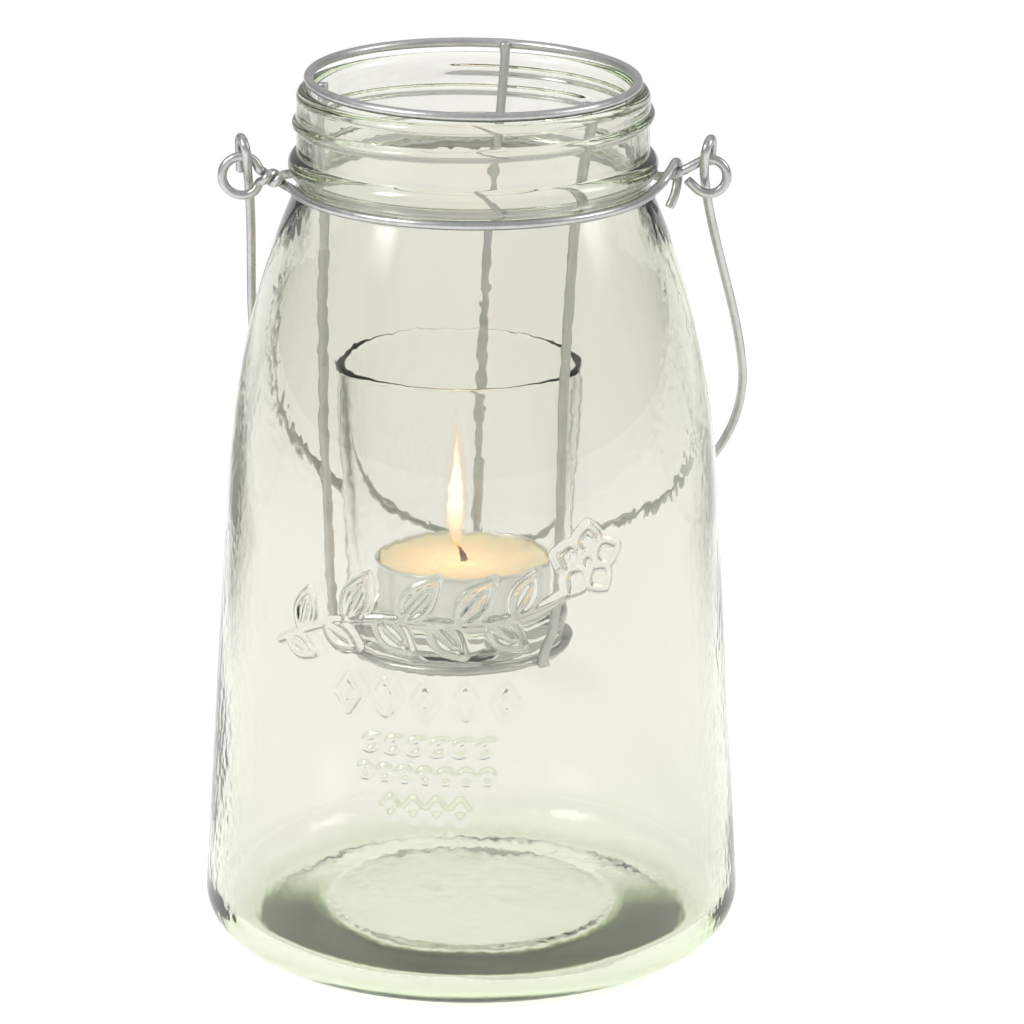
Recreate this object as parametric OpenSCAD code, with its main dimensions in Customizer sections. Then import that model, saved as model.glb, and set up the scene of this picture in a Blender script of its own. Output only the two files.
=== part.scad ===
// Mason jar lantern: a heavy pressed-glass jar with a wire collar and bail,
// and a wire hanger that holds a tealight in a votive glass inside the jar.
// Millimetres. +Z is up. The origin is the centre of the jar's base plane.
// -Y is the front and -X the left; the bail rests against the back (+Y).

/* [Jar] */
// Outer radius of the jar at the heel
jar_r = 59.2; // [58:0.1:61]
// Radius of the heel rounding between base and wall
heel_r = 9.6; // [7:0.2:11]
// Height where the straight wall turns into the shoulder
wall_top_z = 95; // [90:1:100]
// Outer radius at the top of the straight wall
wall_top_r = 53.95; // [53:0.05:55]
// Height of the foot of the neck
shoulder_z = 168; // [166:0.5:169]
// Outer radius at the foot of the neck
shoulder_r = 38.1; // [37.9:0.05:38.2]
// Wall thickness of the body
wall_t = 2.6; // [2:0.1:3.4]
// Thickness of the glass floor under the candle
floor_t = 5; // [4:0.2:7]
// Radius of the raised round panel in the floor
punt_r = 31; // [26:1:34]

/* [Neck] */
// Outer radius of the neck wall
neck_r = 37.9; // [37.7:0.05:38]
// Inner radius of the mouth
mouth_r = 34.3; // [34.2:0.05:34.5]
// Height of the centre of the round bead under the thread
bead_z = 173; // [172.9:0.05:173.4]
// Section radius of that bead
bead_r = 3; // [2.8:0.05:3.1]
// Height of the rim of the mouth
rim_z = 189.5; // [189.2:0.05:189.6]
// Lead of the screw thread, height gained in one turn
thread_lead = 4.4; // [4:0.1:5]
// How far the thread stands out from the neck
thread_out = 1; // [0.7:0.1:1.1]
// Angle swept by the thread, in degrees
thread_sweep = 417; // [300:1:430]

/* [Wire] */
// Diameter of all steel wires
wire_d = 2.05; // [1.9:0.05:2.1]
// Radius of the collar ring to the wire centre
collar_r = 39.25; // [39.2:0.05:39.4]
// Height of the collar ring
collar_z = 168.7; // [168.6:0.05:168.9]
// Radius of the left, twisted eye
eye_l_r = 4.3; // [4.2:0.05:4.5]
// Radius of the right, open eye
eye_r_r = 3.85; // [3.8:0.05:3.95]

/* [Bail] */
// Height of the hinge line through both eyes
hinge_z = 173.95; // [173.9:0.05:174]
// Lean of the bail against the back of the jar, in degrees
lean = 30.2; // [30.2:0.2:36]
// Length of the bail below the hinge line
bail_len = 117; // [112:1:118]
// Half width of the bail at its widest
bail_w = 53.9; // [53:0.1:55]

/* [Hanger] */
// Radius of the top ring that rests on the jar's rim
top_ring_r = 35.2; // [35.1:0.05:35.4]
// Height of the top ring's centre line where it lies on the rim
top_ring_z = 190.62; // [190.6:0.02:190.8]
// Tilt of the top ring, in degrees
top_ring_tilt = 1.05; // [0:0.05:1.2]
// Radius of the base ring that carries the votive glass
base_ring_r = 23.9; // [23.8:0.05:24]
// Height of the base ring
base_ring_z = 66; // [65.8:0.1:66.2]
// Sideways place of the hanging basket
basket_x = -2.9; // [-3:0.1:-2.6]

/* [Votive] */
// Outer radius of the votive glass at its foot
votive_r0 = 23.6; // [23.5:0.05:23.7]
// Outer radius of the votive glass at its rim
votive_r1 = 26.5; // [26:0.1:26.6]
// Height of the votive glass
votive_h = 63.2; // [60:0.2:64]
// Thickness of its base
votive_base = 5.4; // [4:0.2:6]

/* [Tealight] */
// Diameter of the tealight cup
tea_d = 38.4; // [37:0.1:38.6]
// Height of the tealight cup
tea_h = 14; // [12:0.5:15]

/* [Hidden] */
wire_r = wire_d / 2;
bent_r = wire_r * 0.97;       // swept stretches, a little inside the arcs
straight_r = wire_r * 0.985;  // straight stretches, a hair inside the arcs
overlap = 0.25;               // straight stretches run this far into the arcs
facets = 12;                  // facets round a swept wire
steel = [0.66, 0.67, 0.68];
leg_steel = [0.64, 0.65, 0.66];

// ---------- curves ("part" runs from 0 to 1 along a curve) ----------
function unit(v) = v / norm(v);
function lerp(start, end, part) = start + (end - start) * part;
function smooth(part) = part * part * (3 - 2 * part);
function arc_points(centre, radius, a0, a1, steps) =
    [for (i = [0:steps]) let (a = lerp(a0, a1, i / steps))
        [centre[0] + radius * cos(a), centre[1] + radius * sin(a)]];
function on_ring(centre, radius, angle) =
    centre + [radius * cos(angle), radius * sin(angle), 0];
function bezier(p, part) =
    pow(1 - part, 3) * p[0] + 3 * pow(1 - part, 2) * part * p[1]
    + 3 * (1 - part) * part * part * p[2] + part * part * part * p[3];

// Bezier stretch that leaves start along dir0 and arrives at end along dir1
function blend_points(start, dir0, end, dir1, steps) =
    let (reach = norm(end - start) / 3,
         p = [start, start + reach * unit(dir0), end - reach * unit(dir1), end])
    [for (i = [0:steps]) bezier(p, i / steps)];

// Catmull-Rom curve through a short list of control points
function spline_at(p, i, part) =
    let (before = p[max(i - 1, 0)], start = p[i], end = p[i + 1],
         after = p[min(i + 2, len(p) - 1)])
    0.5 * (2 * start + (end - before) * part
           + (2 * before - 5 * start + 4 * end - after) * part * part
           + (3 * start - before - 3 * end + after) * part * part * part);
function spline_points(p, steps) = concat(
    [for (i = [0:len(p) - 2], k = [0:steps - 1]) spline_at(p, i, k / steps)],
    [p[len(p) - 1]]);

// ---------- wires ----------
function tangents(path) = [for (i = [0:len(path) - 1])
    unit(path[min(i + 1, len(path) - 1)] - path[max(i - 1, 0)])];
function first_normal(tangent) =
    unit(cross(tangent, abs(tangent[2]) < 0.8 ? [0, 0, 1] : [1, 0, 0]));

// Each normal is the one before it, made square to the new tangent: no twist
function normals(along) = [for (i = 0, side = first_normal(along[0]);
    i < len(along);
    i = i + 1,
    side = i < len(along) ? unit(side - (side * along[i]) * along[i]) : side)
    side];

module swept_wire(path, radius) {
    along = tangents(path);
    side = normals(along);
    last = len(path) - 1;
    points = [for (i = [0:last]) let (up = cross(along[i], side[i]))
        for (k = [0:facets - 1]) let (a = 360 * k / facets)
            path[i] + radius * (cos(a) * side[i] + sin(a) * up)];
    skin = [for (i = [0:last - 1], k = [0:facets - 1])
        let (next = (k + 1) % facets)
        [i * facets + k, (i + 1) * facets + k,
         (i + 1) * facets + next, i * facets + next]];
    start_cap = [for (k = [0:facets - 1]) k];
    end_cap = [for (k = [facets - 1:-1:0]) last * facets + k];
    polyhedron(points = points, faces = concat([start_cap], skin, [end_cap]),
               convexity = 8);
}

module arc_wire(radius, a0, a1) {
    rotate([0, 0, a0])
        rotate_extrude(angle = a1 - a0, $fn = 96)
            translate([radius, 0]) circle(r = wire_r, $fn = 24);
}

module closed_ring(radius, segments) {
    rotate_extrude($fn = segments)
        translate([radius, 0]) circle(r = wire_r, $fn = 24);
}

// ---------- jar ----------
heel_centre = [jar_r - heel_r - 0.1, heel_r];
underside = [[0, 1.4], [30, 1.4], [42, 1.1], [45, 0]];  // radius, z
bead_inset = 1.1;             // bead centre lies this far inside the neck face
bead_half_angle = acos(bead_inset / bead_r);
lip_r = (neck_r + 0.05 - mouth_r) / 2;
inner_heel_r = 9;
inner_wall_r = jar_r - wall_t - 0.9;  // inner radius just above the heel
punt_h = 0.8;                 // rise of the panel in the floor
shoulder_steps = 16;
inner_steps = 14;             // the inside follows the shoulder this far
inner_drop = 1.6;             // and ends this far below the outside

// Shoulder curve, from the straight wall up to the foot of the neck
wall_slope = (wall_top_r - jar_r + 0.25) / (wall_top_z - heel_r);
wall_reach = 8.7;
neck_reach = 32.9;
neck_slope = 0.439;
function shoulder(i) = bezier([
    [wall_top_r, wall_top_z],
    [wall_top_r + wall_reach * wall_slope, wall_top_z + wall_reach],
    [shoulder_r + neck_reach * neck_slope, shoulder_z - neck_reach],
    [shoulder_r, shoulder_z]], i / shoulder_steps);

function jar_outer() = concat(
    underside,
    arc_points(heel_centre, heel_r, -90, -3, 10),
    [for (i = [0:shoulder_steps]) shoulder(i)],
    [[neck_r - 0.15, shoulder_z + 0.6]],
    arc_points([neck_r - bead_inset, bead_z], bead_r,
               -bead_half_angle, bead_half_angle, 14),
    arc_points([mouth_r + lip_r, rim_z - lip_r], lip_r, 0, 180, 16));

function jar_inner() = concat(
    [[mouth_r, shoulder_z + 3]],
    [for (i = [inner_steps:-1:0])
        let (thickness = lerp(wall_t, shoulder_r - mouth_r,
                              smooth(i / shoulder_steps)))
        shoulder(i) - [thickness, inner_drop * i / inner_steps]],
    arc_points([inner_wall_r - inner_heel_r, floor_t + inner_heel_r],
               inner_heel_r, -2, -90, 9),
    [[punt_r + 1.2, floor_t], [punt_r, floor_t + punt_h], [0, floor_t + punt_h]]);

thread_steps = 84;
thread_start_a = 45;
thread_start_z = 180.35;
// distance out from the neck face, height from the thread's centre line
thread_profile = [
    [-0.5, -1.3], [0, -1.15], [0.65 * thread_out, -0.75], [thread_out, 0],
    [0.65 * thread_out, 0.75], [0, 1.15], [-0.5, 1.3]];
// The thread fades out towards both ends
function thread_size(part) = min(1, min(part, 1 - part) * 14 + 0.12);

module thread() {
    sides = len(thread_profile);
    points = [for (i = [0:thread_steps])
        let (part = i / thread_steps,
             angle = thread_start_a + thread_sweep * part,
             z = thread_start_z + thread_lead * thread_sweep * part / 360,
             size = thread_size(part))
        for (p = thread_profile)
            on_ring([0, 0, z + p[1] * lerp(0.6, 1, size)],
                    neck_r + (p[0] > 0 ? p[0] * size : p[0]), angle)];
    skin = [for (i = [0:thread_steps - 1], k = [0:sides - 1])
        let (next = (k + 1) % sides)
        [i * sides + k, i * sides + next,
         (i + 1) * sides + next, (i + 1) * sides + k]];
    start_cap = [for (k = [sides - 1:-1:0]) k];
    end_cap = [for (k = [0:sides - 1]) thread_steps * sides + k];
    polyhedron(points = points, faces = concat([start_cap], skin, [end_cap]),
               convexity = 6);
}

module glass_jar() {
    color([0.83, 0.88, 0.76, 0.45]) union() {
        rotate_extrude($fn = 120)
            polygon(concat(jar_outer(), jar_inner()));
        thread();
    }
}

// ---------- collar wire: ring, twisted left eye, open right eye, hook ----------
// ring angles where the strands leave the ring
rear_left_a = 165;
front_left_a = 195;
front_right_a = 348;
rear_right_a = 14;
ring_overlap = 0.3;           // strands start this far inside the ring's ends
eye_left = [-49.6, 0, 169.85];
eye_right = [50.65, 0, 170.05];
eye_gap_a = 48;               // half gap of the left eye at its twist
tail_a = 225;                 // where the right eye straightens into its tail
tail_len = 2.8;
eye_entry_a = 122;            // where the rear strand enters the right eye
function collar_point(angle) = on_ring([0, 0, collar_z], collar_r, angle);
function collar_dir(angle) = [-sin(angle), cos(angle), 0];
function eye_point(centre, radius, angle) =
    centre + [radius * cos(angle), 0, radius * sin(angle)];
function eye_dir(angle) = [-sin(angle), 0, cos(angle)];

// The two left strands wind once round each other between ring and eye
twist_x = [-40.6, -45.6];     // start, end
twist_z = [169.0, 169.85];
twist_r = 1.15;
twist_steps = 18;
function twist_point(part, phase) = [
    lerp(twist_x[0], twist_x[1], part),
    twist_r * cos(phase + 360 * part),
    lerp(twist_z[0], twist_z[1], part) + twist_r * sin(phase + 360 * part)];
function twist_dir(part, phase) =
    twist_point(part + 0.01, phase) - twist_point(part - 0.01, phase);

// way: 1 for the front strand, -1 for the rear one
function left_strand(ring_a, way) =
    let (phase = -90 * way, eye_a = -way * eye_gap_a)
    concat(
        [collar_point(ring_a) + ring_overlap * way * collar_dir(ring_a)],
        blend_points(collar_point(ring_a), -way * collar_dir(ring_a),
                     twist_point(0, phase), twist_dir(0, phase), 8),
        [for (i = [1:twist_steps - 1]) twist_point(i / twist_steps, phase)],
        blend_points(twist_point(1, phase), twist_dir(1, phase),
                     eye_point(eye_left, eye_l_r, eye_a),
                     -way * eye_dir(eye_a), 5),
        [eye_point(eye_left, eye_l_r, eye_a - 4 * way)]);

// From the ring's rear right end up into the right eye
strand_bend = [43.6, 0.7, 170.5];
function right_strand() =
    let (entry = eye_point(eye_right, eye_r_r, eye_entry_a))
    concat(
        [collar_point(rear_right_a) + ring_overlap * collar_dir(rear_right_a)],
        blend_points(collar_point(rear_right_a), -collar_dir(rear_right_a),
                     strand_bend, [2.1, -0.9, 1.15], 8),
        [for (i = [1:6]) bezier([strand_bend, [45.2, 0, 171.35],
            entry + 1.6 * eye_dir(eye_entry_a), entry], i / 6)],
        [eye_point(eye_right, eye_r_r, eye_entry_a - 5)]);

// From the ring's front right end, over the right strand and down
hook_points = [                // x, y, z
    [40.5, -4.2, 169.7], [42.5, -1.5, 172.0], [43.5, 0.7, 173.1],
    [44.1, 2.7, 171.4], [44.0, 2.9, 168.6], [43.4, 1.9, 165.6],
    [42.2, 1.0, 162.9]];
function right_hook() = concat(
    [collar_point(front_right_a) - ring_overlap * collar_dir(front_right_a)],
    spline_points(concat([collar_point(front_right_a)], hook_points), 5));

module neck_wire() {
    color(steel) union() {
        translate([0, 0, collar_z]) {
            arc_wire(collar_r, rear_right_a, rear_left_a);
            arc_wire(collar_r, front_left_a, front_right_a);
        }
        translate(eye_left) rotate([90, 0, 0])
            arc_wire(eye_l_r, eye_gap_a, 360 - eye_gap_a);
        translate(eye_right) rotate([90, 0, 0])
            arc_wire(eye_r_r, tail_a - 360, eye_entry_a);
        translate(eye_point(eye_right, eye_r_r, tail_a))
            rotate([0, 180 - tail_a, 0])
                translate([0, 0, -overlap])
                    cylinder(r = straight_r, h = tail_len + overlap, $fn = 24);
        swept_wire(left_strand(front_left_a, 1), bent_r);
        swept_wire(left_strand(rear_left_a, -1), bent_r);
        swept_wire(right_strand(), bent_r);
        swept_wire(right_hook(), bent_r);
    }
}

// ---------- bail: two long hooks and a hoop, built hanging, then leaned ----------
// Before the lean, the hinge line is the X axis and depth is measured down -Z.
hook_leg_y = 2.55;            // hook legs stand this far from the hinge line
hoop_y = 1.0;                 // plane of the hoop, in front of the hinge line
hook_up = 2.3;                // straight part of the hook above the hinge line
widest_depth = 62;
skew = 0.1;                   // the hoop is bent a little to the right
hook_left_x = [-48.35, -50.1];  // main leg (front), tail (back)
hook_right_x = [49.5, 51.2];
hook_main_depth = 1.2;
hook_half_span = (hook_right_x[0] - hook_left_x[0]) / 2;
function bail_mid_x(depth) =
    (hook_left_x[0] + hook_right_x[0]) / 2 + skew * depth * depth / (depth + 8);
function arm_half_width(depth) =
    lerp(hook_half_span, bail_w, smooth(depth / widest_depth));
// The arm steps back from the hook's leg into the hoop's plane inside the eye
function arm_y(depth) =
    -lerp(hook_leg_y, hoop_y, smooth(min(1, max(0, (depth - 0.6) / 7.5))));
step_end = 8.9;               // the arm is in the hoop's plane from here down
arm_depths = concat(
    [for (i = [0:7]) 0.9 + i],
    [for (i = [1:9]) lerp(step_end, widest_depth, i / 9)]);
// way: -1 for the left arm, 1 for the right one
function arm_point(depth, way) =
    [bail_mid_x(depth) + way * arm_half_width(depth), arm_y(depth), -depth];
function bail_points() = concat(
    [for (depth = arm_depths) arm_point(depth, -1)],
    [for (i = [1:39])
        let (a = 180 * i / 40,
             depth = lerp(widest_depth, bail_len, sin(a)))
        [bail_mid_x(depth) - bail_w * cos(a), -hoop_y, -depth]],
    [for (i = [len(arm_depths) - 1:-1:0]) arm_point(arm_depths[i], 1)]);

module hook_leg(x, y, depth) {
    translate([x, y, -depth])
        cylinder(r = straight_r, h = hook_up + depth + overlap, $fn = 24);
}

module bail_hook(leg_x, tail_depth) {
    span_x = leg_x[1] - leg_x[0];
    span_y = 2 * hook_leg_y;
    translate([(leg_x[0] + leg_x[1]) / 2, 0, hook_up])
        rotate([0, 0, 90 - atan(span_x / span_y)])
            rotate([90, 0, 0])
                arc_wire(norm([span_x, span_y]) / 2, 0, 180);
    hook_leg(leg_x[0], -hook_leg_y, hook_main_depth);
    hook_leg(leg_x[1], hook_leg_y, tail_depth);
}

module bail_handle() {
    color(steel) translate([0, 0, hinge_z]) rotate([lean, 0, 0])
        union() {
            swept_wire(bail_points(), bent_r);
            bail_hook(hook_left_x, tail_depth = 6.2);
            bail_hook(hook_right_x, tail_depth = 3.6);
        }
}

// ---------- hanger: two rings and three welded legs ----------
basket = [basket_x, 0, base_ring_z];
leg_top_r = top_ring_r - wire_d + 0.06;     // inside the top ring
leg_foot_r = base_ring_r + wire_d - 0.08;   // outside the base ring
weld_r = wire_r * 1.16;
lift_a = 135;                 // the top ring is raised on this side
lift = top_ring_r * sin(top_ring_tilt);
function top_z(angle) = top_ring_z + lift * (1 + cos(angle - lift_a));

module hanger_top_ring() {
    color([0.68, 0.69, 0.70]) translate([0, 0, top_ring_z + lift])
        rotate([0, 0, lift_a]) rotate([0, -top_ring_tilt, 0])
            closed_ring(top_ring_r, 120);
}

module hanger_base_ring() {
    color([0.62, 0.63, 0.64]) translate(basket)
        closed_ring(base_ring_r, 96);
}

// middle: x, y, z of the points between the leg's top and its foot
module leg(top_a, foot_a, middle) {
    weld = on_ring([0, 0, top_z(top_a)], leg_top_r, top_a);
    top = weld + [0, 0, 0.75];
    foot = on_ring(basket, leg_foot_r, foot_a);
    bends = concat([top - [0, 0, 4]], middle,
                   [foot + [0, 0, 1.6], foot - [0, 0, 1.0]]);
    swept_wire(concat([top], spline_points(bends, 4)), wire_r);
    for (place = [weld, foot])
        translate(place) sphere(r = weld_r, $fn = 24);
}

module hanger_leg_left() {
    color(leg_steel) leg(196, 196,
        [[-31.6, -9.0, 165], [-31.7, -8.2, 129], [-30.9, -8.0, 96],
         [-29.9, -8.0, 74]]);
}

module hanger_leg_right() {
    color(leg_steel) leg(316, 316,
        [[21.9, -20.4, 172], [20.0, -20.2, 145], [18.8, -20.0, 120],
         [18.2, -19.2, 80]]);
}

module hanger_leg_back() {
    color(leg_steel) leg(78, 82,
        [[5.0, 31.2, 165], [2.4, 28.4, 129], [1.2, 27.0, 96],
         [0.7, 26.3, 76]]);
}

// ---------- votive glass ----------
votive_z = base_ring_z + 0.62;
votive_heel_r = 1.2;
votive_rim_r = 0.95;          // the rim is a half round
votive_wall = 2.2;            // wall thickness at the foot
votive_fillet_r = 3;          // inside, between wall and base

module votive_glass() {
    color([0.9, 0.92, 0.9, 0.4]) translate([basket_x, 0, votive_z])
        rotate_extrude($fn = 96) polygon(concat(
            [[0, 0.8], [15, 0.8], [17, 0]],
            arc_points([votive_r0 - votive_heel_r, votive_heel_r],
                       votive_heel_r, -90, 0, 6),
            arc_points([votive_r1 - votive_rim_r, votive_h - votive_rim_r],
                       votive_rim_r, 0, 180, 8),
            arc_points([votive_r0 - votive_wall - votive_fillet_r,
                        votive_base + votive_fillet_r],
                       votive_fillet_r, 0, -90, 6),
            [[0, votive_base]]));
}

// ---------- tealight ----------
tea_r = tea_d / 2;
tea_x = -1.9;
tea_z = votive_z + votive_base + 0.1;
cup_t = 0.4;
fit = 0.02;                   // clearance between the candle's pieces
wax_place = [tea_x, 0, tea_z + cup_t + fit];
wax_h = tea_h - cup_t - 0.7;
wick_r = 0.75;
wick_h = wax_h + 2.6;
wick_lift = 0.25;             // wick's foot above the underside of the wax
bore_r = wick_r + 0.03;
plate_r = 6;                  // round plate of the sustainer
plate_t = 0.4;
collar_foot_r = 1.75;         // the sustainer's little neck, at its foot
collar_top_r = 1.3;
collar_top_z = plate_t + 5.5;
pocket_gap = 0.05;            // between the sustainer and the wax round it

module tealight_cup() {
    color([0.80, 0.81, 0.82]) translate([tea_x, 0, tea_z])
        rotate_extrude($fn = 96) polygon([
            [0, 0], [tea_r - 1.4, 0],
            [tea_r - 0.75, 0.4], [tea_r - 0.3, tea_h - 0.8],
            [tea_r, tea_h - 0.7], [tea_r, tea_h - 0.25],
            [tea_r - 0.2, tea_h], [tea_r - 0.5, tea_h],
            [tea_r - 0.7, tea_h - 0.3], [tea_r - 1.15, 0.8],
            [tea_r - 1.6, cup_t], [0, cup_t]]);
}

module candle_wax() {
    color([0.97, 0.87, 0.72]) translate(wax_place)
        difference() {
            rotate_extrude($fn = 96) polygon([
                [0, 0], [tea_r - 1.75, 0],
                [tea_r - 1.2, 0.6], [tea_r - 0.8, wax_h],
                [tea_r - 2.2, wax_h - 0.35], [8, wax_h - 0.8],
                [0, wax_h - 1.0]]);
            translate([0, 0, -1])
                cylinder(r = plate_r + pocket_gap, h = 1 + plate_t + fit, $fn = 48);
            translate([0, 0, -1])
                cylinder(r = collar_foot_r + pocket_gap,
                         h = 1 + collar_top_z + fit, $fn = 32);
            cylinder(r = bore_r, h = wax_h + 2, $fn = 32);
        }
}

module wick_sustainer() {
    color([0.72, 0.72, 0.72]) translate(wax_place)
        difference() {
            union() {
                cylinder(r = plate_r, h = plate_t, $fn = 48);
                cylinder(r1 = collar_foot_r, r2 = collar_top_r,
                         h = collar_top_z, $fn = 32);
            }
            translate([0, 0, 0.2])
                cylinder(r = bore_r, h = collar_top_z - plate_t + 2, $fn = 32);
        }
}

module candle_wick() {
    color([0.18, 0.14, 0.12]) translate(wax_place + [0, 0, wick_lift])
        union() {
            cylinder(r = wick_r, h = wick_h, $fn = 32);
            translate([0, 0, wick_h]) sphere(r = wick_r, $fn = 32);
        }
}

glass_jar();
neck_wire();
bail_handle();
hanger_top_ring();
hanger_base_ring();
hanger_leg_left();
hanger_leg_right();
hanger_leg_back();
votive_glass();
tealight_cup();
candle_wax();
candle_wick();
wick_sustainer();
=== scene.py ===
# Mason jar lantern: a pressed green glass jar with a wire collar and bail, and inside it
# a wire hanger that holds a votive glass with a lit tealight.
# The jar stands upright on the floor (z = 0) with its axis on z. The ornament faces -y,
# where the camera is; +x is on the right. The bail hangs down behind the jar, on +y.
# Pieces are drawn in millimetres; materials, lights and camera are in metres.
import math

import bpy
import numpy as np
from mathutils import Matrix, Vector


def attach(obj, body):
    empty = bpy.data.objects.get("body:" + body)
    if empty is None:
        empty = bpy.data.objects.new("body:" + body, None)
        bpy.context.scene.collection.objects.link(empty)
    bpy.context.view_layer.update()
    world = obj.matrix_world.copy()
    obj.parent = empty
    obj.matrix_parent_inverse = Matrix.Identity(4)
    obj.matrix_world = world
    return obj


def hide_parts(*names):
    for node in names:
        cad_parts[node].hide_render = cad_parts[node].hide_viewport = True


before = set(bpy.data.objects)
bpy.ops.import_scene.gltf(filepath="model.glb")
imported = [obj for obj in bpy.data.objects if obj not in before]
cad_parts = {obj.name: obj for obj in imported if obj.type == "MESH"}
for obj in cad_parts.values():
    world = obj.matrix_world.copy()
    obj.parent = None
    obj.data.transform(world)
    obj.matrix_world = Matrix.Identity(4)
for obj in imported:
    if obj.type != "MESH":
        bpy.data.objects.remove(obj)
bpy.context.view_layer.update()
MM = 0.001
TAU = 2 * math.pi


# ------------------------------------------------------------------ curves
def smoothstep(x):
    x = np.clip(x, 0, 1)
    return x * x * (3 - 2 * x)


def unit(vector):
    return vector / np.linalg.norm(vector)


def full_turn(count):
    return np.linspace(0, TAU, count + 1)[:-1]


def bezier(controls, t):
    a, b, c, d = np.asarray(controls, float)
    t = np.asarray(t, float)[:, None]
    return (1 - t) ** 3 * a + 3 * (1 - t) ** 2 * t * b + 3 * (1 - t) * t * t * c + t ** 3 * d


def arc(centre, radius, start, end, steps):
    """Arc in a profile's plane, angles in degrees."""
    angle = np.radians(np.linspace(start, end, steps + 1))
    return np.stack([centre[0] + radius * np.cos(angle), centre[1] + radius * np.sin(angle)], 1)


def blend(start, start_dir, end, end_dir, steps):
    """A curve between two points that leaves and arrives along the given directions."""
    reach = np.linalg.norm(end - start) / 3
    controls = [start, start + reach * unit(start_dir), end - reach * unit(end_dir), end]
    return bezier(controls, np.linspace(0, 1, steps + 1))


def catmull_rom(points, steps):
    """A smooth curve through all the points."""
    points = np.asarray(points, float)
    last = len(points) - 1
    out = []
    for i in range(last):
        a, b, c, d = points[[max(i - 1, 0), i, i + 1, min(i + 2, last)]]
        for k in range(steps):
            t = k / steps
            out.append(0.5 * (2 * b + (c - a) * t + (2 * a - 5 * b + 4 * c - d) * t * t
                              + (3 * b - a - 3 * c + d) * t ** 3))
    return np.array(out + [points[-1]])


def resample(path, step):
    """Points at even steps of about this length, without repeated points."""
    path = np.asarray(path, float)
    path = path[np.r_[True, np.linalg.norm(np.diff(path, axis=0), axis=1) > 1e-6]]
    run = np.r_[0, np.cumsum(np.linalg.norm(np.diff(path, axis=0), axis=1))]
    count = max(2, int(round(run[-1] / step)))
    stations = np.linspace(0, run[-1], count + 1)
    return np.stack([np.interp(stations, run, path[:, k]) for k in range(3)], 1)


def relax(values, passes):
    """Average each value with its neighbours, the two ends held."""
    values = values.copy()
    for _ in range(passes):
        values[1:-1] = 0.25 * values[:-2] + 0.5 * values[1:-1] + 0.25 * values[2:]
    return values


# ------------------------------------------------------------------ meshes
def make_mesh(name, points, quads, tris, material):
    """A smooth-shaded mesh object from arrays, points in millimetres."""
    quads = np.asarray(quads, int).reshape(-1, 4)
    tris = np.asarray(tris, int).reshape(-1, 3)
    face_count = len(quads) + len(tris)
    mesh = bpy.data.meshes.new(name)
    mesh.vertices.add(len(points))
    coords = np.asarray(points, float) * MM
    mesh.vertices.foreach_set("co", coords.astype(np.float32).ravel())
    corners = np.concatenate([quads.ravel(), tris.ravel()]).astype(np.int32)
    mesh.loops.add(len(corners))
    mesh.loops.foreach_set("vertex_index", corners)
    mesh.polygons.add(face_count)
    starts = np.concatenate([np.arange(len(quads)) * 4, quads.size + np.arange(len(tris)) * 3])
    mesh.polygons.foreach_set("loop_start", starts.astype(np.int32))
    mesh.materials.append(material)
    # written out so that the mesh carries the attribute
    mesh.polygons.foreach_set("material_index", np.zeros(face_count, np.int32))
    mesh.update(calc_edges=True)
    mesh.polygons.foreach_set("use_smooth", np.full(face_count, True, bool))
    mesh.validate()
    ob = bpy.data.objects.new(name, mesh)
    bpy.context.scene.collection.objects.link(ob)
    return ob


def skin(name, rings, ends, material):
    """Quads between rings of points. Two end points cap it; if None, it closes on itself."""
    rows, sides = rings.shape[:2]
    bands = rows if ends is None else rows - 1
    row, side = np.meshgrid(np.arange(bands), np.arange(sides), indexing="ij")
    next_side = (side + 1) % sides
    next_row = (row + 1) % rows
    quads = np.stack([row * sides + side, row * sides + next_side,
                      next_row * sides + next_side, next_row * sides + side], -1)
    points = rings.reshape(-1, 3)
    tris = ()
    if ends is not None:
        points = np.concatenate([points, ends])
        this = np.arange(sides)
        following = (this + 1) % sides
        last = (rows - 1) * sides
        first_end = np.full(sides, rows * sides)
        tris = np.concatenate([np.stack([first_end, following, this], -1),
                               np.stack([last + this, last + following, first_end + 1], -1)])
    return make_mesh(name, points, quads, tris, material)


def lathe(name, profile, angles, material, centre=(0, 0, 0), relief=None):
    """Solid of revolution. The (radius, z) profile runs from the axis under the piece,
    up its outside and back to the axis. relief(row, angle, radius, z) gives offsets
    in radius and z for every point."""
    profile = np.asarray(profile, float)
    count = len(profile) - 2
    radius = np.repeat(profile[1:-1, 0][:, None], len(angles), 1)
    z = np.repeat(profile[1:-1, 1][:, None], len(angles), 1)
    if relief is not None:
        row = np.arange(1, count + 1)[:, None]
        d_radius, dz = relief(row, np.repeat(angles[None, :], count, 0), radius, z)
        radius, z = radius + d_radius, z + dz
    rings = np.stack([radius * np.cos(angles), radius * np.sin(angles), z], -1)
    ends = np.array([[0, 0, profile[0, 1]], [0, 0, profile[-1, 1]]])
    return skin(name, rings + np.array(centre), ends + np.array(centre), material)


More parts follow.
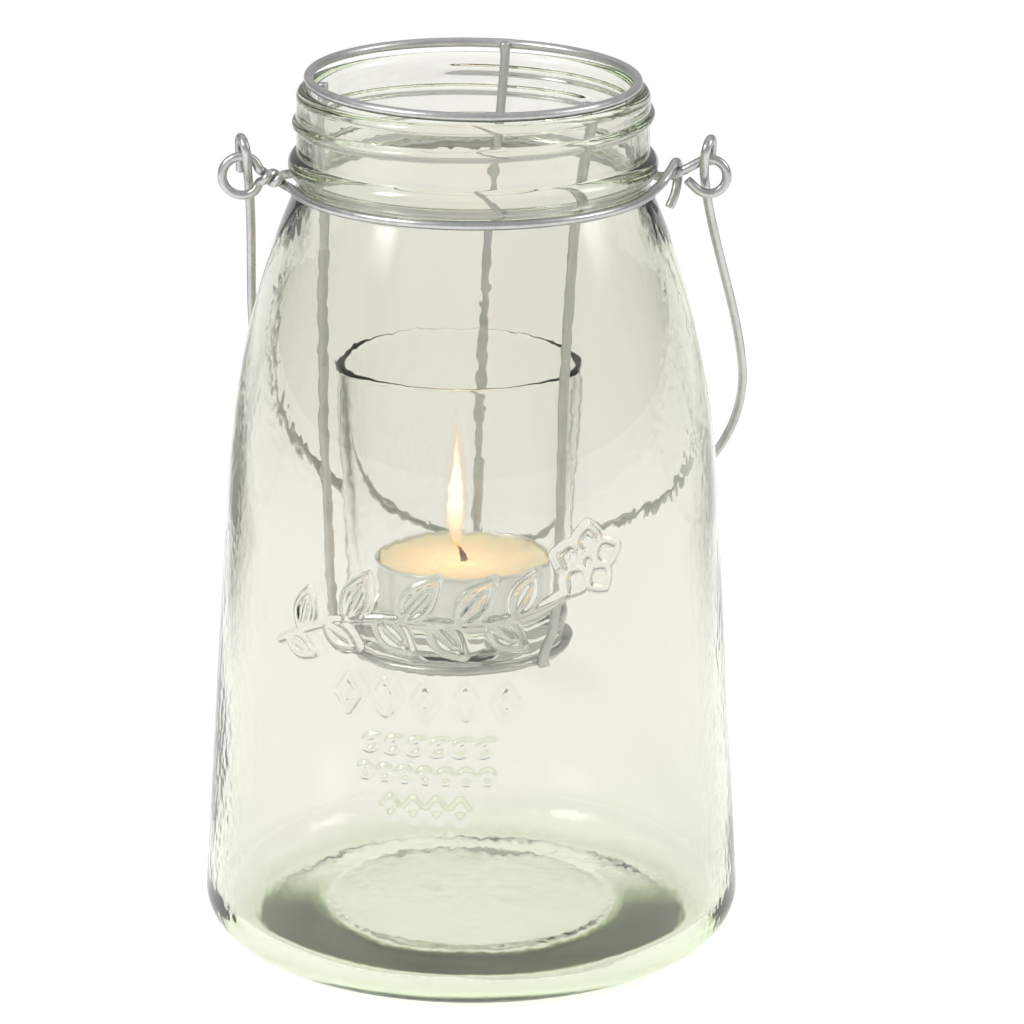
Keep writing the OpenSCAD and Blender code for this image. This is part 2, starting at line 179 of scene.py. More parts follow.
def tube(name, path, radius, material, sides=24, closed=False, bevel=0.14):
    """A wire along a path, with one radius or one per point. Open ends get a small bevel."""
    path = np.asarray(path, float)
    radius = np.broadcast_to(radius, len(path))
    if closed:
        along = np.roll(path, -1, 0) - np.roll(path, 1, 0)
    else:
        along = np.gradient(path, axis=0)
    along /= np.linalg.norm(along, axis=1)[:, None]
    # carry one side direction down the path without twisting
    across = np.zeros_like(path)
    helper = np.array([0, 0, 1.0]) if abs(along[0][2]) < 0.8 else np.array([1.0, 0, 0])
    across[0] = unit(np.cross(along[0], helper))
    for i in range(1, len(path)):
        across[i] = unit(across[i - 1] - (across[i - 1] @ along[i]) * along[i])
    upward = np.cross(along, across)
    angle = (np.arange(sides) * TAU / sides)[None, :, None]
    rings = path[:, None, :] + radius[:, None, None] * (
        np.cos(angle) * across[:, None, :] + np.sin(angle) * upward[:, None, :])
    if closed:
        return skin(name, rings, None, material)
    face_share = 0.84  # radius of the flat end face against the wire's
    first = path[0] + (rings[0] - path[0]) * face_share
    last = path[-1] + (rings[-1] - path[-1]) * face_share
    rings[0] += along[0] * bevel
    rings[-1] -= along[-1] * bevel
    rings = np.concatenate([first[None], rings, last[None]])
    return skin(name, rings, np.array([path[0], path[-1]]), material)


def register(ob, part, replaced=None):
    """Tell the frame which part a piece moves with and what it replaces."""
    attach(ob, part)
    if replaced:
        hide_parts(replaced)


# ------------------------------------------------------------------ shader nodes
class Shader:
    """The node tree of a material, world or light."""

    def __init__(self, owner, output="OutputMaterial"):
        self.owner = owner
        owner.use_nodes = True
        self.tree = owner.node_tree
        self.tree.nodes.clear()
        self.output = self.add(output)

    def add(self, kind, inputs=None, **settings):
        """A new node; each input takes a value or another node's output."""
        node = self.tree.nodes.new("ShaderNode" + kind)
        for key, value in settings.items():
            setattr(node, key, value)
        for key, value in (inputs or {}).items():
            if isinstance(value, bpy.types.NodeSocket):
                self.tree.links.new(value, node.inputs[key])
            else:
                node.inputs[key].default_value = value
        return node

    def finish(self, node):
        self.tree.links.new(node.outputs[0], self.output.inputs["Surface"])
        return self.owner

    def math(self, operation, first, second=0.0, third=None):
        inputs = {0: first, 1: second}
        if third is not None:
            inputs[2] = third
        return self.add("Math", inputs, operation=operation).outputs[0]

    def times(self, product, *factors):
        for factor in factors:
            product = self.math("MULTIPLY", product, factor)
        return product

    def minus(self, first, second):
        return self.math("SUBTRACT", first, second)

    def line(self, value, slope, offset):
        return self.math("MULTIPLY_ADD", value, slope, offset)

    def magnitude(self, value):
        return self.add("Math", {0: value}, operation="ABSOLUTE").outputs[0]

    def hypotenuse(self, x, y):
        return self.math("SQRT", self.math("ADD", self.times(x, x), self.times(y, y)))

    def rescale(self, value, start, end, at_start=0.0, at_end=1.0, interpolation="LINEAR"):
        inputs = {"From Min": start, "From Max": end, "To Min": at_start, "To Max": at_end,
                  "Value": value}
        node = self.add("MapRange", inputs, interpolation_type=interpolation)
        return node.outputs["Result"]

    def fade(self, value, start, end, at_start, at_end):
        return self.rescale(value, start, end, at_start, at_end, "SMOOTHSTEP")

    def ramp(self, value, stops):
        """Colour ramp from (position, (r, g, b)) stops."""
        node = self.add("ValToRGB", {0: value})
        elements = node.color_ramp.elements
        while len(elements) > 1:
            elements.remove(elements[0])
        elements[0].position = stops[0][0]
        elements[0].color = (*stops[0][1], 1)
        for position, colour in stops[1:]:
            elements.new(position).color = (*colour, 1)
        return node.outputs[0]

    def grey_ramp(self, value, stops):
        return self.ramp(value, [(position, (grey,) * 3) for position, grey in stops])

    def noise(self, vector, scale, detail, roughness):
        inputs = {"Vector": vector, "Scale": scale, "Detail": detail, "Roughness": roughness}
        return self.add("TexNoise", inputs).outputs["Fac"]

    def bump(self, height, strength, distance, normal=None):
        inputs = {"Strength": strength, "Distance": distance, "Height": height}
        if normal is not None:
            inputs["Normal"] = normal
        return self.add("Bump", inputs).outputs["Normal"]

    def coords(self, stretch=(1, 1, 1)):
        """Object coordinates, scaled for textures."""
        position = self.add("TexCoord").outputs["Object"]
        return self.add("Mapping", {"Vector": position, "Scale": stretch}).outputs["Vector"]

    def split(self, vector):
        return self.add("SeparateXYZ", {0: vector}).outputs

    def position(self):
        return self.split(self.add("TexCoord").outputs["Object"])

    def mix(self, factor, first, second):
        return self.add("MixShader", {0: factor, 1: first.outputs[0], 2: second.outputs[0]})

    def glow(self, opacity, colour, strength):
        """Emission over clear air."""
        emission = self.add("Emission", {"Color": colour, "Strength": strength})
        return self.mix(opacity, self.add("BsdfTransparent"), emission)


def new_material(name):
    return Shader(bpy.data.materials.new(name))


# ------------------------------------------------------------------ materials
def glass_material(name, *, absorb, density, tint, ior, noise_scale, stretch, bump_distance,
                   shadow, inner_only):
    """Clear glass, tinted in its depth, with a fine unevenness on its whole surface
    or only where the "inner" attribute is 1. Shadow rays pass through almost clear."""
    m = new_material(name)
    uneven = m.noise(m.coords(stretch), noise_scale, detail=0.6, roughness=0.4)
    if inner_only:
        mask = m.add("Attribute", attribute_name="inner").outputs["Fac"]
        uneven = m.times(uneven, mask)
    body = m.add("BsdfPrincipled", {
        "Base Color": (*tint, 1),
        "Transmission Weight": 1.0,
        "IOR": ior,
        "Roughness": m.line(uneven, slope=0.02, offset=0.0),
        "Normal": m.bump(uneven, strength=1.0, distance=bump_distance)})
    clear = m.add("BsdfTransparent", {"Color": (*shadow, 1)})
    is_shadow = m.add("LightPath").outputs["Is Shadow Ray"]
    depth = m.add("VolumeAbsorption", {"Color": (*absorb, 1), "Density": density})
    m.tree.links.new(depth.outputs[0], m.output.inputs["Volume"])
    return m.finish(m.mix(is_shadow, body, clear))


def wire_material(name, dark, light, smoothest, roughest, scale_shift=0.0):
    """Scuffed metal between two greys; scale_shift varies its noise from wire to wire."""
    m = new_material(name)
    coords = m.coords()
    broad = m.noise(coords, scale=90.0 + scale_shift, detail=3.0, roughness=0.6)
    grain = m.noise(coords, scale=2600.0, detail=2.0, roughness=0.7)
    scuff = m.noise(coords, scale=700.0 + scale_shift * 3, detail=5.0, roughness=0.65)
    blotches = m.line(scuff, slope=0.45, offset=m.times(broad, 0.55))
    middle = tuple(0.5 * (a + b) for a, b in zip(dark, light))
    grain_bump = m.bump(grain, strength=0.25, distance=0.00006)
    return m.finish(m.add("BsdfPrincipled", {
        "Metallic": 1.0,
        "Base Color": m.ramp(blotches, [(0.30, dark), (0.52, middle), (0.72, light)]),
        "Roughness": m.rescale(scuff, start=0.3, end=0.7, at_start=smoothest, at_end=roughest),
        "Normal": m.bump(scuff, strength=0.25, distance=0.00006, normal=grain_bump)}))


def cup_material():
    m = new_material("pressed_aluminium")
    coords = m.coords(stretch=(1, 1, 4))
    broad = m.noise(coords, scale=120.0, detail=3.0, roughness=0.6)
    fine = m.noise(coords, scale=1500.0, detail=3.0, roughness=0.6)
    return m.finish(m.add("BsdfPrincipled", {
        "Metallic": 0.85,
        "Base Color": m.ramp(broad, [(0.3, (0.80, 0.80, 0.80)), (0.7, (0.92, 0.92, 0.91))]),
        "Roughness": m.line(broad, slope=0.25, offset=0.22),
        "Normal": m.bump(fine, strength=0.3, distance=0.00012)}))


def wax_material(centre_x, radius):
    """Wax with a painted glow, strongest at the wick, that grows smoother towards the wick."""
    m = new_material("wax_with_painted_glow")
    x, y, _ = m.position()
    outward = m.math("DIVIDE", m.hypotenuse(m.minus(x, centre_x), y), radius)
    mottle = m.noise(m.coords(), scale=240.0, detail=4.0, roughness=0.55)
    shade = m.line(mottle, slope=0.5, offset=m.times(outward, 0.5))
    return m.finish(m.add("BsdfPrincipled", {
        "IOR": 1.44,
        "Subsurface Weight": 0.5,
        "Subsurface Scale": 0.004,
        "Base Color": m.ramp(shade, [(0.2, (0.92, 0.80, 0.62)), (0.55, (0.88, 0.75, 0.56)),
                                     (0.85, (0.83, 0.70, 0.54))]),
        # painted glow of the flame's light in the wax, warmest at the wick
        "Emission Color": m.ramp(outward, [
            (0.0, (1.0, 0.76, 0.48)), (0.35, (0.95, 0.72, 0.46)),
            (0.8, (0.72, 0.56, 0.38)), (1.0, (0.50, 0.40, 0.28))]),
        "Emission Strength": 0.06,
        "Roughness": m.line(outward, slope=0.35, offset=0.15),
        "Normal": m.bump(mottle, strength=0.3, distance=0.0003)}))


def wick_material(top):
    """Charred braid with an ember at its tip."""
    m = new_material("charred_wick")
    height = m.rescale(m.position()[2], start=top - 0.0035, end=top)
    braid = m.noise(m.coords(stretch=(1, 1, 0.4)), scale=1800.0, detail=3.0, roughness=0.6)
    return m.finish(m.add("BsdfPrincipled", {
        "Base Color": m.ramp(height, [(0.0, (0.30, 0.20, 0.12)), (0.35, (0.05, 0.04, 0.035)),
                                      (1.0, (0.03, 0.025, 0.02))]),
        "Emission Color": m.ramp(height, [(0.0, (0.0, 0.0, 0.0)), (0.75, (0.05, 0.01, 0.0)),
                                          (1.0, (1.0, 0.28, 0.05))]),
        "Emission Strength": 3.0,
        "Roughness": 0.9,
        "Normal": m.bump(braid, strength=0.8, distance=0.0002)}))


def flame_material(bottom, top):
    """Orange at the foot, nearly white in the middle, thinning out at the tip."""
    m = new_material("candle_flame")
    height = m.rescale(m.position()[2], start=bottom, end=top)
    core = m.minus(1.0, m.add("LayerWeight", {"Blend": 0.35}).outputs["Facing"])
    colour = m.ramp(height, [
        (0.0, (1.0, 0.50, 0.26)), (0.10, (1.0, 0.60, 0.36)), (0.22, (1.0, 0.78, 0.52)),
        (0.34, (1.0, 0.95, 0.80)), (0.62, (1.0, 0.96, 0.82)), (0.80, (1.0, 0.84, 0.60)),
        (1.0, (1.0, 0.70, 0.45))])
    density = m.grey_ramp(height, [(0.0, 0.22), (0.12, 0.42), (0.24, 0.7), (0.36, 1.0),
                                   (0.62, 0.95), (0.78, 0.40), (0.9, 0.14), (1.0, 0.03)])
    opacity = m.times(m.math("POWER", core, 0.6), density)
    return m.finish(m.glow(opacity, colour, m.line(core, slope=1.0, offset=0.9)))


def halo_material(bottom, top):
    """The faint warm veil of hot gas round the flame."""
    m = new_material("flame_veil")
    height = m.rescale(m.position()[2], start=bottom, end=top)
    facing = m.add("LayerWeight", {"Blend": 0.5}).outputs["Facing"]
    core = m.math("POWER", m.minus(1.0, facing), 1.6)
    density = m.grey_ramp(height, [(0.0, 0.05), (0.25, 0.27), (0.6, 0.33), (0.85, 0.16),
                                   (1.0, 0.0)])
    return m.finish(m.glow(m.times(core, density), (1.0, 0.80, 0.58, 1), 1.0))


def floor_material():
    m = new_material("pale_floor")
    coords = m.add("TexCoord").outputs["Object"]
    x, y, _ = m.split(coords)
    from_axis = m.hypotenuse(x, y)

    # Painted shade: the paper darkens to both sides of the view, in a stretch behind the jar.
    # side is the sideways slope of a floor point as the camera sees it.
    depth = m.line(y, slope=0.956, offset=1.2214)
    side = m.math("DIVIDE", x, m.math("MAXIMUM", depth, 0.1))
    sides = m.times(m.fade(side, start=0.108, end=0.19, at_start=1.0, at_end=0.50),
                    m.fade(side, start=-0.16, end=-0.103, at_start=0.26, at_end=1.0))
    shade_cards = m.times(m.fade(side, start=0.27, end=0.36, at_start=1.0, at_end=0.0),
                    m.fade(side, start=-0.36, end=-0.27, at_start=0.0, at_end=1.0))
    painted_side_shade = m.times(m.fade(y, start=0.10, end=0.24, at_start=0.0, at_end=1.0),
                     m.fade(y, start=0.62, end=0.85, at_start=1.0, at_end=0.0), shade_cards)
    # the painted dark cards of shade only show bent through the glass, the paper itself stays
    # plain
    seen_directly = m.add("LightPath").outputs["Is Camera Ray"]
    painted_side_shade = m.times(painted_side_shade, m.minus(1.0, seen_directly))
    sides = m.minus(1.0, m.times(painted_side_shade, m.minus(1.0, sides)))
    far = m.fade(y, start=0.02, end=0.6, at_start=1.01, at_end=1.0)

    # painted shade: a mottled green crescent under the front of the base
    y_back = m.minus(y, 0.010)
    from_back = m.math("SQRT", m.math("MULTIPLY_ADD", y_back, y_back, m.times(x, x)))
    band = m.times(m.fade(from_back, start=0.0300, end=0.0360, at_start=0.0, at_end=1.0),
                   m.fade(from_axis, start=0.0462, end=0.0492, at_start=1.0, at_end=0.0))
    shade = m.times(band, m.fade(y, start=0.000, end=0.022, at_start=1.0, at_end=0.0))
    mottle = m.noise(coords, scale=55.0, detail=2.0, roughness=0.5)
    painted_crescent_shade = m.minus(1.0, m.times(shade, m.line(mottle, slope=-0.20, offset=1.02)))
    # painted light: the floor under the jar is up to 12 percent brighter
    painted_light_under_jar = m.fade(from_axis, start=0.047, end=0.052, at_start=1.12, at_end=1.0)

    lit = m.times(m.times(sides, far), m.times(painted_crescent_shade, painted_light_under_jar))
    grain = m.noise(coords, scale=900.0, detail=3.0, roughness=0.6)
    grey = m.times(m.line(grain, slope=0.02, offset=0.87), lit)
    paper = m.add("CombineColor", {0: grey, 1: grey, 2: grey}).outputs[0]
    # tint is the green of the painted crescent shade, used in the paper's colour and its glow
    # inputs 0, 6 and 7 of a colour mix are its factor and two colours, output 2 its result
    tint = m.add("Mix", {0: shade, 6: (1.0, 1.0, 1.0, 1.0), 7: (0.72, 1.0, 0.42, 1.0)},
                 data_type="RGBA").outputs[2]
    base = m.add("Mix", {0: 1.0, 6: paper, 7: tint}, data_type="RGBA", blend_type="MULTIPLY")
    return m.finish(m.add("BsdfPrincipled", {
        "Roughness": 0.8,
        "Specular IOR Level": 0.1,
        "Base Color": base.outputs[2],
        # the floor glows: painted light that keeps it white and fills in the jar's shadow
        "Emission Color": tint,
        "Emission Strength": m.times(lit, 0.45)}))


mat_jar = glass_material(
    "jar_green_glass", absorb=(0.45, 0.80, 0.02), density=17.0, tint=(0.879, 0.856, 0.846),
    ior=1.5, noise_scale=480.0, stretch=(1, 1, 0.8), bump_distance=0.000042,
    shadow=(0.93, 0.95, 0.91), inner_only=True)
mat_votive = glass_material(
    "votive_clear_glass", absorb=(0.70, 0.78, 0.55), density=5.0, tint=(0.995, 0.998, 0.99),
    ior=1.36, noise_scale=420.0, stretch=(1, 1, 1), bump_distance=0.000008,
    shadow=(0.96, 0.97, 0.95), inner_only=False)
mat_wire = wire_material("galvanised_wire", dark=(0.46, 0.46, 0.455), light=(0.68, 0.68, 0.67),
                         smoothest=0.26, roughest=0.38)
mat_hanger = wire_material("galvanised_wire_hanger", dark=(0.50, 0.50, 0.495),
                           light=(0.68, 0.68, 0.67), smoothest=0.30, roughest=0.42,
                           scale_shift=7.0)

# ------------------------------------------------------------------ jar ornament
# Strokes on the front wall: u runs along the wall to the right, v is height.
STROKE_HALF = 1.05   # half width of a raised line
STROKE_RISE = 0.68
ORNAMENT_Z = (40, 112)
ORNAMENT_HALF = 52   # reach to each side of the front
UP, DOWN = 0.86, -0.78  # lean of a leaf from the stem, radians
# place along the stem (0 to 1), lean, length, width
STEM_LEAVES = [
    (0.04, DOWN, 8, 4.2), (0.10, UP, 10, 5.0), (0.20, DOWN, 9, 4.6), (0.28, UP, 11.5, 5.4),
    (0.39, DOWN, 9.5, 4.8), (0.47, UP, 12, 5.6), (0.57, DOWN, 9.5, 4.8), (0.65, UP, 12, 5.6),
    (0.75, DOWN, 9, 4.6), (0.83, UP, 10.5, 5.0)]
BLOSSOM = (25.0, 98.5)
ROWS_U = -9.9        # middle of the rows under the sprig


def leaf(u, v, angle, length, width, vein=True):
    t = np.linspace(0, 1, 15)
    half = width / 2 * np.sin(math.pi * t ** 0.85)
    c, s = math.cos(angle), math.sin(angle)
    mid_u, mid_v = u + length * t * c, v + length * t * s
    strokes = [np.stack([mid_u - half * s, mid_v + half * c], 1),
               np.stack([mid_u + half * s, mid_v - half * c], 1)]
    if vein:
        strokes.append(np.stack([mid_u, mid_v], 1)[1:11])
    return strokes


def small_ring(u, v, radius):
    angle = np.linspace(0, TAU, 17)
    return [np.stack([u + radius * np.cos(angle), v + radius * np.sin(angle)], 1)]


def diamond(u, v, w, h):
    return [np.array([[u - w, v], [u, v + h], [u + w, v], [u, v - h], [u - w, v]])]


def ornament_strokes():
    # main stem, rising from left to right in a soft S
    t = np.linspace(0, 1, 60)
    stem = np.stack([-46 + 66 * t, 77.5 + 16.5 * t + 3.2 * np.sin(TAU * t * 0.9)], 1)
    strokes = [stem]
    for place, lean, length, width in STEM_LEAVES:
        k = min(int(place * 59), 58)
        part = place * 59 - k
        du, dv = stem[k + 1] - stem[k]
        u, v = stem[k] * (1 - part) + stem[k + 1] * part
        strokes += leaf(u, v, math.atan2(dv, du) + lean, length, width)
    # five-petal blossom beyond the end of the stem
    u, v = BLOSSOM
    for k in range(5):
        angle = math.pi / 2 + k * TAU / 5
        strokes += leaf(u + 1.7 * math.cos(angle), v + 1.7 * math.sin(angle), angle,
                        6.2, 5.4, vein=False)
    strokes += small_ring(u, v, 1.5)
    # rows under the sprig: diamonds and leaves, slanted leaves, rings, small diamonds
    for k in (-2, -1, 0, 1, 2):
        u = ROWS_U + 8.6 * k
        if k % 2 == 0:
            strokes += diamond(u, 69.5, 2.6, 3.9)
            strokes += diamond(u, 69.5, 0.5, 0.9)
        else:
            strokes += leaf(u, 66.0, math.pi / 2, 7.4, 4.4)
    for k in range(6):
        strokes += leaf(ROWS_U - 13.5 + 4.9 * k, 58.2, math.radians(38), 4.6, 2.8, vein=False)
    for k in range(7):
        strokes += small_ring(ROWS_U - 13.2 + 4.4 * k, 53.2, 1.25)
    for k in range(4):
        strokes += diamond(ROWS_U - 7.5 + 5.0 * k, 45.8, 1.7, 2.1)
    return strokes


def ornament_height(u, v):
    """Height of the raised lines at each point, 0 to 1."""
    nearest = np.full(u.shape, 9.0)
    for stroke in ornament_strokes():
        low, high = stroke.min(0) - 1.5, stroke.max(0) + 1.5
        near = (u > low[0]) & (u < high[0]) & (v > low[1]) & (v < high[1])
        if not near.any():
            continue
        near_u, near_v = u[near], v[near]
        distance = nearest[near]
        for a, b in zip(stroke[:-1], stroke[1:]):
            ab = b - a
            square = ab @ ab
            if square < 1e-9:
                continue
            t = np.clip(((near_u - a[0]) * ab[0] + (near_v - a[1]) * ab[1]) / square, 0, 1)
            distance = np.minimum(distance, np.hypot(near_u - a[0] - t * ab[0],
                                                     near_v - a[1] - t * ab[1]))
        nearest[near] = distance
    x = np.clip(nearest / STROKE_HALF, 0, 1)
    return (1 - x * x) ** 1.5


# ------------------------------------------------------------------ jar
FOOT_R = 59.2          # widest, just above the heel
HEEL_R = 9.6           # heel rounding
WALL_R, WALL_Z = 53.95, 95.0          # where the wall turns into the shoulder
SHOULDER_R, SHOULDER_Z = 38.1, 168.0  # where the shoulder meets the neck
NECK_R, MOUTH_R, RIM_Z = 37.9, 34.3, 189.5
BEAD_R, BEAD_Z, BEAD_INSET = 3.0, 173.0, 1.1
WALL_T, FLOOR_T = 2.6, 5.0
INNER_HEEL_R, INNER_FLOOR_Z = 8.2, 3.1
LIP_R = (NECK_R + 0.05 - MOUTH_R) / 2
LIP_CENTRE = (MOUTH_R + LIP_R, RIM_Z - LIP_R)
# underside and floor inside, as (radius, z)
UNDERSIDE = [
    [0, 2.75], [8, 2.72], [16, 2.62], [23, 2.45], [28, 2.25], [30.5, 2.1], [33, 1.78],
    [36, 1.36], [39, 0.93], [42, 0.5], [43.6, 0.28], [45.0, 0.08], [46.0, 0.0],
    [47.5, 0.0], [48.6, 0.0]]
NECK_ROOT = [[NECK_R + 0.02, SHOULDER_Z + 0.35], [NECK_R - 0.12, SHOULDER_Z + 0.8],
             [NECK_R - 0.15, SHOULDER_Z + 1.4]]
FLOOR_INSIDE = [
    [44.0, 3.14], [42, 3.3], [39, 3.75], [36, 4.3], [34.2, 4.6], [32.6, 4.85], [31.6, 5.05],
    [30.9, 5.3], [30.2, 5.45], [29.4, 5.52], [27, 5.6], [23, 5.7], [16, 5.78], [8, 5.8],
    [0, 5.8]]
# screw thread on the neck: one start, right hand; angles in degrees
THREAD_START, THREAD_END, THREAD_FADE = 42, 465, 14.0
THREAD_PITCH, THREAD_HALF, THREAD_Z45 = 4.4, 1.25, 180.35  # height at 45 degrees
# soft waves of pressed glass: count round, rate up, phase round, phase up, amplitude
OUTER_WAVES = [(3, 0.055, 0.4, 1.1, 0.05), (7, 0.09, 2.1, 0.3, 0.03), (2, 0.025, 1.0, 2.0, 0.07)]
INNER_WAVES = [(5, 0.07, 1.3, 0.2, 0.07), (9, 0.12, 0.2, 1.9, 0.03), (17, 0.21, 2.6, 0.7, 0.009),
               (31, 0.33, 0.9, 2.2, 0.004), (3, 0.03, 2.0, 0.5, 0.14)]


def jar_shoulder():
    """Control points of the curve from the wall to the neck."""
    wall_slope = (WALL_R - FOOT_R + 0.25) / (WALL_Z - HEEL_R)
    return [[WALL_R, WALL_Z], [WALL_R + 8.7 * wall_slope, WALL_Z + 8.7],
            [SHOULDER_R + 32.9 * 0.439, SHOULDER_Z - 32.9], [SHOULDER_R, SHOULDER_Z]]


def jar_outside():
    heel = arc((FOOT_R - HEEL_R - 0.1, HEEL_R), HEEL_R, -90, -3, 22)
    wall = np.concatenate([[heel[-1]], bezier(jar_shoulder(), np.linspace(0, 1, 120))])
    # fine steps for the ornament, coarser below and above
    z = np.concatenate([np.arange(heel[-1, 1] + 1.2, ORNAMENT_Z[0], 1.3),
                        np.arange(*ORNAMENT_Z, 0.42),
                        np.arange(ORNAMENT_Z[1], SHOULDER_Z - 0.2, 0.9), [SHOULDER_Z]])
    wall_rows = np.stack([np.interp(z, wall[:, 1], wall[:, 0]), z], 1)
    bead_angle = math.degrees(math.acos(BEAD_INSET / BEAD_R))
    bead = arc((NECK_R - BEAD_INSET, BEAD_Z), BEAD_R, -bead_angle, bead_angle, 30)
    neck_z = np.arange(bead[-1, 1] + 0.25, LIP_CENTRE[1] - 0.1, 0.22)
    neck_rows = np.stack([np.full(len(neck_z), NECK_R), neck_z], 1)
    lip = arc(LIP_CENTRE, LIP_R, 0, 180, 30)
    return np.concatenate([UNDERSIDE, heel, wall_rows, NECK_ROOT, bead, neck_rows, lip])


def jar_inside():
    """From under the lip down to the middle of the floor."""
    t = np.linspace(0, 1, 120)
    thickness = WALL_T + (SHOULDER_R - MOUTH_R - WALL_T) * smoothstep(t * 15 / 16 * 1.05)
    wall = bezier(jar_shoulder(), t * 14 / 16)
    wall = np.stack([wall[:, 0] - thickness, wall[:, 1] - 1.6 * t], 1)
    heel_centre = (FOOT_R - WALL_T - 0.9 - INNER_HEEL_R, INNER_FLOOR_Z + INNER_HEEL_R)
    heel = arc(heel_centre, INNER_HEEL_R, -2, -90, 18)
    curve = np.concatenate([[heel[0]], wall, [[MOUTH_R, SHOULDER_Z + 3]]])
    curve = curve[np.argsort(curve[:, 1])]
    z = np.concatenate([np.arange(LIP_CENTRE[1] - 0.8, SHOULDER_Z + 3, -1.1),
                        np.arange(SHOULDER_Z + 2.5, heel[0, 1] + 0.8, -1.35)])
    radius = np.interp(z, curve[:, 1], curve[:, 0])
    radius = np.where(z < SHOULDER_Z + 6, relax(radius, 6), radius)
    return np.concatenate([np.stack([radius, z], 1), heel, FLOOR_INSIDE])


def wave_sum(waves, angle, z):
    return sum(amplitude * np.sin(around * angle + phase) * np.sin(up * z + up_phase)
               for around, up, phase, up_phase, amplitude in waves)


def thread_height(angle, z):
    height = np.zeros_like(z)
    for turn in (0, 1):
        total = np.degrees(angle) % 360 + 360 * turn
        on = (total >= THREAD_START) & (total <= THREAD_END)
        middle = THREAD_Z45 + THREAD_PITCH * (total - 45) / 360
        ends = smoothstep(np.minimum(total - THREAD_START, THREAD_END - total) / THREAD_FADE)
        x = np.clip(np.abs(z - middle) / THREAD_HALF, 0, 1)
        height = np.maximum(height, np.where(on, ends * (1 - x ** 2.4) ** 1.2, 0))
    return height


def build_jar():
    outside = jar_outside()
    # fine angles over the front, where the ornament is
    angles = np.radians(np.concatenate([np.arange(-142, -50, 0.37), np.arange(-50, 218, 1.5)]))

    def relief(row, angle, radius, z):
        is_out = row < len(outside)
        body = np.clip((z - 12) / 14, 0, 1) * np.clip((172 - z) / 10, 0, 1)
        outer = wave_sum(OUTER_WAVES, angle, z) * body
        inner = wave_sum(INNER_WAVES, angle, z) * body * np.clip((158 - z) / 25, 0, 1)
        d_radius = np.where(is_out, outer, inner)
        floor_wave = (0.10 * np.sin(3 * angle + 0.7) * np.clip(radius / 30, 0, 1)
                      + 0.06 * np.sin(7 * angle + radius * 0.35))
        dz = np.where(~is_out & (z < FLOOR_T + 3), floor_wave, 0)
        neck = is_out & (z > 176.2) & (z < RIM_Z - 1.2) & (radius > 36)
        d_radius += np.where(neck, thread_height(angle, z), 0)
        u = ((angle + math.pi / 2 + math.pi) % TAU - math.pi) * radius
        front = (is_out & (z > ORNAMENT_Z[0]) & (z < ORNAMENT_Z[1])
                 & (np.abs(u) < ORNAMENT_HALF))
        raised = np.zeros_like(radius)
        raised[front] = ornament_height(u[front], z[front])
        return d_radius + STROKE_RISE * raised, dz

    jar = lathe("jar_glass", np.concatenate([outside, jar_inside()]), angles, mat_jar,
                relief=relief)
    # marks the inner surface, where the glass is less even; the last two points are
    # the middles of the underside and of the floor inside
    inner = np.zeros(len(jar.data.vertices), np.float32)
    inner[(len(outside) - 1) * len(angles):-2] = 1.0
    inner[-1] = 1.0
    jar.data.attributes.new("inner", "FLOAT", "POINT").data.foreach_set("value", inner)
    register(jar, "jar", "glass_jar")


build_jar()

# ------------------------------------------------------------------ collar wire
WIRE_R = 1.025
COLLAR_R, COLLAR_Z = 39.25, 168.7
# eyes at the sides, standing in the xz plane
LEFT_EYE, LEFT_EYE_R = (-49.6, 0, 169.85), 4.3
RIGHT_EYE, RIGHT_EYE_R = (50.65, 0, 170.05), 3.85
RIGHT_EYE_START, RIGHT_EYE_END = 122, -135
# the twist between ring and left eye
TWIST_START_X, TWIST_END_X, TWIST_R = -40.6, -45.6, 1.15
TWIST_Z, TWIST_RISE = 169.0, 0.85
# the wire's hooked end at the right, from the ring over and down: x, y, z
RIGHT_HOOK = [[40.5, -4.2, 169.7], [42.5, -1.5, 172.0], [43.5, 0.7, 173.1], [44.1, 2.7, 171.4],
              [44.0, 2.9, 168.6], [43.4, 1.9, 165.6], [42.2, 1.0, 162.9]]


def polar(angle, radius, z):
    angle = math.radians(angle)
    return np.array([radius * math.cos(angle), radius * math.sin(angle), z])


def ring_point(angle):
    return polar(angle, COLLAR_R, COLLAR_Z)


def ring_dir(angle):
    angle = math.radians(angle)
    return np.array([-math.sin(angle), math.cos(angle), 0.0])


def eye_point(centre, radius, angle):
    angle = math.radians(angle)
    return np.array(centre) + radius * np.array([math.cos(angle), 0, math.sin(angle)])


def eye_dir(angle):
    angle = math.radians(angle)
    return np.array([-math.sin(angle), 0, math.cos(angle)])


def left_eye(angle):
    return eye_point(LEFT_EYE, LEFT_EYE_R, angle)


def right_eye(angle):
    return eye_point(RIGHT_EYE, RIGHT_EYE_R, angle)


def left_strand(side):
    """One strand from ring to left eye, starting at the back (+1) or the front (-1)."""
    def twist(t):
        angle = math.radians(90 * side + 360 * t)
        return np.array([TWIST_START_X + (TWIST_END_X - TWIST_START_X) * t,
                         TWIST_R * math.cos(angle),
                         TWIST_Z + TWIST_RISE * t + TWIST_R * math.sin(angle)])

    ring_angle, eye_angle = 180 - 15 * side, 48 * side
    return np.concatenate([
        blend(ring_point(ring_angle), side * ring_dir(ring_angle),
              twist(0), twist(0.01) - twist(-0.01), 16),
        [twist(i / 36) for i in range(1, 36)],
        blend(twist(1), twist(1.01) - twist(0.99),
              left_eye(eye_angle), side * eye_dir(eye_angle), 10)])


